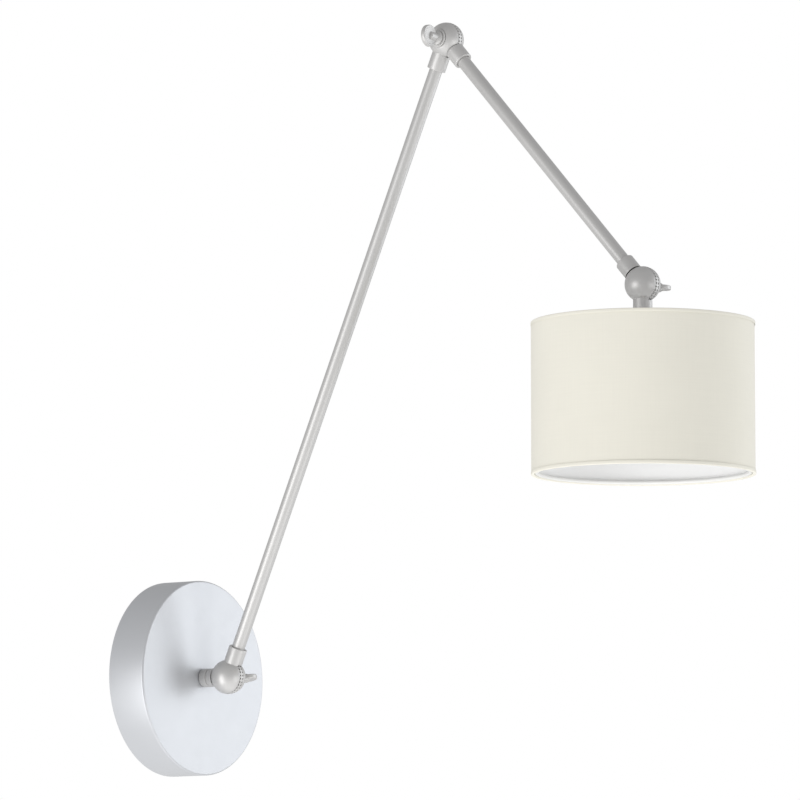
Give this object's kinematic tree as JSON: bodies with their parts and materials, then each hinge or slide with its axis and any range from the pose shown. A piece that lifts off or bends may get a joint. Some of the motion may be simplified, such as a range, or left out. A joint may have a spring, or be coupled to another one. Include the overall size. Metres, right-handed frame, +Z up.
{
  "type": "swing arm wall sconce",
  "caption": "Wall lamp with a round rose, two tubular arms on clamped ball knuckles, and a fabric drum shade that tilts.",
  "frame": {"origin": "centre of the wall bracket's back face, on the wall", "axes": "+Y into the wall, -Y out into the room, +Z up, +X to the right facing the wall"},
  "size_m": [0.1654, 0.5235, 0.5621],
  "materials": {
    "pale_paint": "satin pale grey paint",
    "zinc_steel": "bright zinc",
    "brass": "plain turned",
    "white_plastic": "moulded",
    "shade_fabric": "fine plain weave, cream",
    "shade_liner": "white styrene sheet",
    "opal_globe": "opal",
    "brown_core": "insulated wire",
    "blue_core": "insulated wire",
    "green_core": "insulated wire",
    "white_flex": "round flex"
  },
  "bodies": {
    "wall_side": {"wall_bracket": "zinc_steel", "rose_cup": "pale_paint", "rose_grub_upper": "zinc_steel", "rose_grub_lower": "zinc_steel", "stem_locknut": "zinc_steel", "stem_star_washer": "zinc_steel", "stem_nipple": "zinc_steel", "stem_collar": "pale_paint", "terminal_block": "white_plastic", "terminal_screw_1": "brass", "terminal_screw_2": "brass", "terminal_screw_3": "brass", "terminal_screw_4": "brass", "terminal_screw_5": "brass", "terminal_screw_6": "brass", "lead_live": "brown_core", "lead_neutral": "blue_core", "lead_earth": "green_core", "wall_knuckle_base": "pale_paint", "wall_tooth_ring": "pale_paint", "wall_wing_washer": "pale_paint"},
    "lower_arm": {"wall_knuckle_arm": "pale_paint", "lower_arm_tube": "pale_paint", "lead_lower_arm": "white_flex", "elbow_knuckle_lower": "pale_paint", "elbow_tooth_ring": "pale_paint", "elbow_wing_washer": "pale_paint"},
    "upper_arm": {"elbow_knuckle_upper": "pale_paint", "upper_arm_tube": "pale_paint", "lead_upper_arm": "white_flex", "shade_knuckle_arm": "pale_paint", "shade_tooth_ring": "pale_paint", "shade_wing_washer": "pale_paint"},
    "shade_head": {"shade_knuckle_neck": "pale_paint", "shade_nipple": "zinc_steel", "lead_shade": "white_flex", "holder_cap": "white_plastic", "holder_body": "white_plastic", "holder_contact": "brass", "shade_ring": "white_plastic", "shade_spider": "zinc_steel", "shade_top_hoop": "zinc_steel", "shade_fabric": "shade_fabric", "shade_liner": "shade_liner", "shade_trim_top": "shade_fabric", "shade_trim_bottom": "shade_fabric", "shade_bottom_hoop": "zinc_steel", "bulb_cap": "brass", "bulb_collar": "white_plastic", "bulb_globe": "opal_globe"},
    "wall_wing": {"wall_wing_screw": "pale_paint"},
    "elbow_wing": {"elbow_wing_screw": "pale_paint"},
    "shade_wing": {"shade_wing_screw": "pale_paint"}
  },
  "joints": [
    {"name": "wall_pivot", "type": "hinge", "parent": "wall_side", "child": "lower_arm", "pos_m": [0, -0.057, 0], "axis": [1, 0, 0], "range_deg": [-27, 156]},
    {"name": "elbow_pivot", "type": "hinge", "parent": "lower_arm", "child": "upper_arm", "pos_m": [0, -0.26382, 0.47383], "axis": [-1, 0, 0], "range_deg": [-1, 160]},
    {"name": "shade_pivot", "type": "hinge", "parent": "upper_arm", "child": "shade_head", "pos_m": [0, -0.44075, 0.27321], "axis": [1, 0, 0], "range_deg": [-142, 59]},
    {"name": "wall_wing_turn", "type": "hinge", "parent": "lower_arm", "child": "wall_wing", "pos_m": [0, -0.057, 0], "axis": [1, 0, 0], "range_deg": [-30, 330]},
    {"name": "elbow_wing_turn", "type": "hinge", "parent": "upper_arm", "child": "elbow_wing", "pos_m": [0, -0.26382, 0.47383], "axis": [1, 0, 0], "range_deg": [-30, 330]},
    {"name": "shade_wing_turn", "type": "hinge", "parent": "shade_head", "child": "shade_wing", "pos_m": [0, -0.44075, 0.27321], "axis": [1, 0, 0], "range_deg": [-30, 330]}
  ]
}
